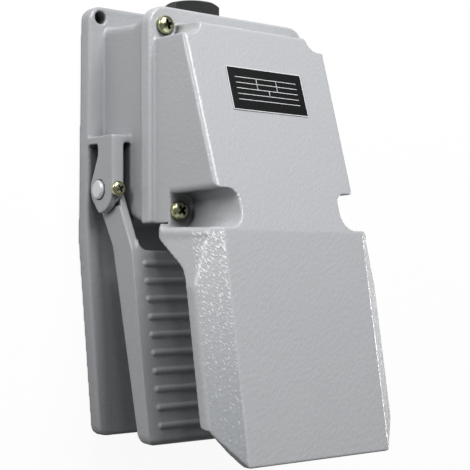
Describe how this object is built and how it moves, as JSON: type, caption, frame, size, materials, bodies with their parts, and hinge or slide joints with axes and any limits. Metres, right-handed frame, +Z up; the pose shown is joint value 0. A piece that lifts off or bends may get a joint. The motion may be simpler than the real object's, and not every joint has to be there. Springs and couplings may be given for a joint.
{
  "type": "industrial foot switch",
  "caption": "Hooded industrial foot switch: cast base and housing, drafted cover with an open toe hood, ribbed sprung pedal on a cross shaft, cable gland at the rear.",
  "frame": {"origin": "middle of the base plate's underside, midway between its front and rear ends", "axes": "+Z up, +Y to the cable gland, +X to the right seen from the foot's side; the foot comes in from -Y"},
  "size_m": [0.1334, 0.2435, 0.1212],
  "materials": {
    "casting_paint": "hammertone powder coat",
    "seal_rubber": "moulded",
    "yellow_zinc": "iridescent yellow zinc plate",
    "contact_brass": "plain",
    "bush_bronze": "sintered",
    "moulded_black": "moulded",
    "gland_black": "moulded, fine texture",
    "spring_steel": "drawn wire",
    "label_finish": "black face with a thin silver edge",
    "bright_steel": "turned"
  },
  "bodies": {
    "housing": {"base_casting": "casting_paint", "cover_casting": "casting_paint", "cover_gasket": "seal_rubber", "rear_cover_screws": "yellow_zinc", "front_cover_screws": "yellow_zinc", "ear_screws": "yellow_zinc", "shaft_bushes": "bush_bronze", "shaft_seals": "seal_rubber", "stop_bumper": "seal_rubber", "contact_block": "moulded_black", "block_cap": "moulded_black", "block_screws": "yellow_zinc", "fixed_contacts": "contact_brass", "terminal_screws": "contact_brass", "earth_screw": "yellow_zinc", "gland_body": "gland_black", "gland_nut": "gland_black", "gland_seal": "seal_rubber", "gland_locknut": "gland_black", "label_plate": "label_finish", "return_spring": "spring_steel"},
    "pedal": {"pedal_casting": "casting_paint", "pivot_shaft": "bright_steel", "drive_pins": "spring_steel", "lever_pin": "spring_steel", "contact_lever": "bright_steel"},
    "plunger": {"plunger": "moulded_black", "contact_bridge": "contact_brass"}
  },
  "joints": [
    {"name": "pedal_pivot", "type": "hinge", "parent": "housing", "child": "pedal", "pos_m": [0, 0.0154, 0.0192], "axis": [1, 0, 0], "range_deg": [0, 12], "stiffness_Nm_per_rad": 8, "springref_deg": -14.32},
    {"name": "plunger_slide", "type": "slide", "parent": "housing", "child": "plunger", "axis": [0, 0, 1], "range_m": [0, 0.0042], "deforming": ["return_spring"]}
  ],
  "couplings": [
    {"joint": "plunger_slide", "follows": "pedal_pivot", "m_per_rad": 0.0199}
  ]
}
